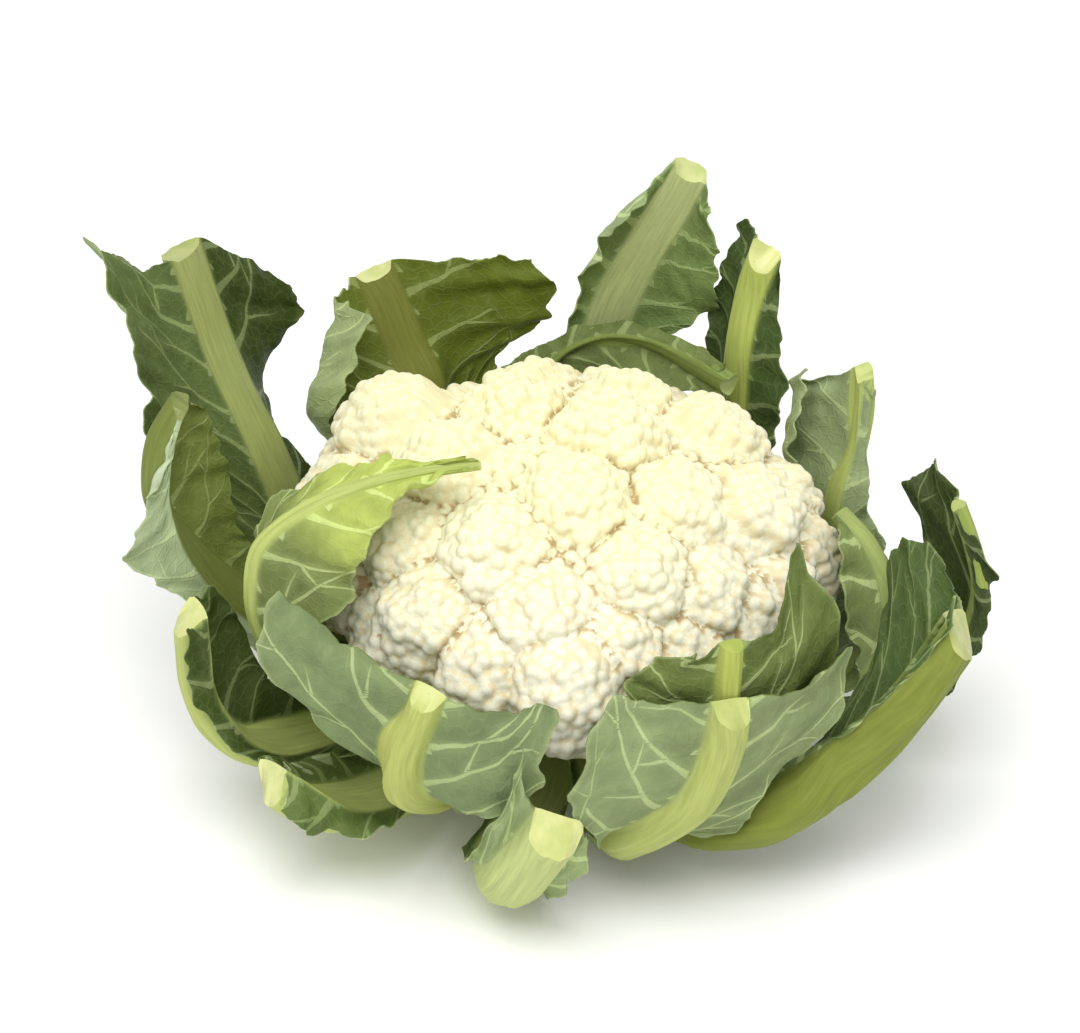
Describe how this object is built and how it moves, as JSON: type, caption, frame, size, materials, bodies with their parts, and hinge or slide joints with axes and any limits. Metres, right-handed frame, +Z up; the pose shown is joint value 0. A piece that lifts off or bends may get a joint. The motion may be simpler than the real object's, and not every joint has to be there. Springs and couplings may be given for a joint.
{
  "type": "cauliflower",
  "caption": "Whole cauliflower standing on its cut stem: a cream head of florets inside a loose ring of trimmed green leaves with thick pale ribs.",
  "frame": {"origin": "middle of the stem's flat cut face, which rests on the table", "axes": "+Z up out of the head, +X to the right and -Y towards the viewer of the picture"},
  "size_m": [0.2824, 0.2228, 0.1795],
  "materials": {
    "stem": "fresh cut stalk, moist and matt",
    "head": "cream curd, matt and finely grained",
    "leaf_left_inner": "young yellow-green leaf, waxy and matt",
    "leaf_right_inner": "grey-green leaf with a pale rib, waxy and matt",
    "leaf_front_right_inner": "young yellow-green leaf, waxy and matt",
    "leaf_back_low": "dark green leaf with a pale rib, slightly glossy inside",
    "leaf_back_left": "dark green leaf with a pale rib, slightly glossy inside",
    "leaf_left_curl": "grey-green leaf with a pale rib, waxy and matt",
    "leaf_front_left": "grey-green leaf with a pale rib, waxy and matt",
    "leaf_front_right": "grey-green leaf with a pale rib, waxy and matt",
    "leaf_right_back": "grey-green leaf with a pale rib, waxy and matt",
    "leaf_back": "dark green leaf with a pale rib, slightly glossy inside",
    "leaf_left_mid": "grey-green leaf with a pale rib, waxy and matt",
    "leaf_left_tall": "dark green leaf with a pale rib, slightly glossy inside",
    "leaf_back_right": "dark green leaf with a pale rib, slightly glossy inside",
    "leaf_right_far": "dark green leaf with a pale rib, slightly glossy inside",
    "leaf_front": "grey-green leaf with a pale rib, waxy and matt",
    "leaf_right_long": "grey-green leaf with a pale rib, waxy and matt",
    "leaf_left_low": "grey-green leaf with a pale rib, waxy and matt"
  },
  "bodies": {
    "root": {"stem": "stem", "head": "head", "leaf_left_inner": "leaf_left_inner", "leaf_right_inner": "leaf_right_inner", "leaf_front_right_inner": "leaf_front_right_inner", "leaf_back_low": "leaf_back_low", "leaf_back_left": "leaf_back_left", "leaf_left_curl": "leaf_left_curl", "leaf_front_left": "leaf_front_left", "leaf_front_right": "leaf_front_right", "leaf_right_back": "leaf_right_back", "leaf_back": "leaf_back", "leaf_left_mid": "leaf_left_mid", "leaf_left_tall": "leaf_left_tall", "leaf_back_right": "leaf_back_right", "leaf_right_far": "leaf_right_far", "leaf_front": "leaf_front", "leaf_right_long": "leaf_right_long", "leaf_left_low": "leaf_left_low"}
  },
  "joints": []
}
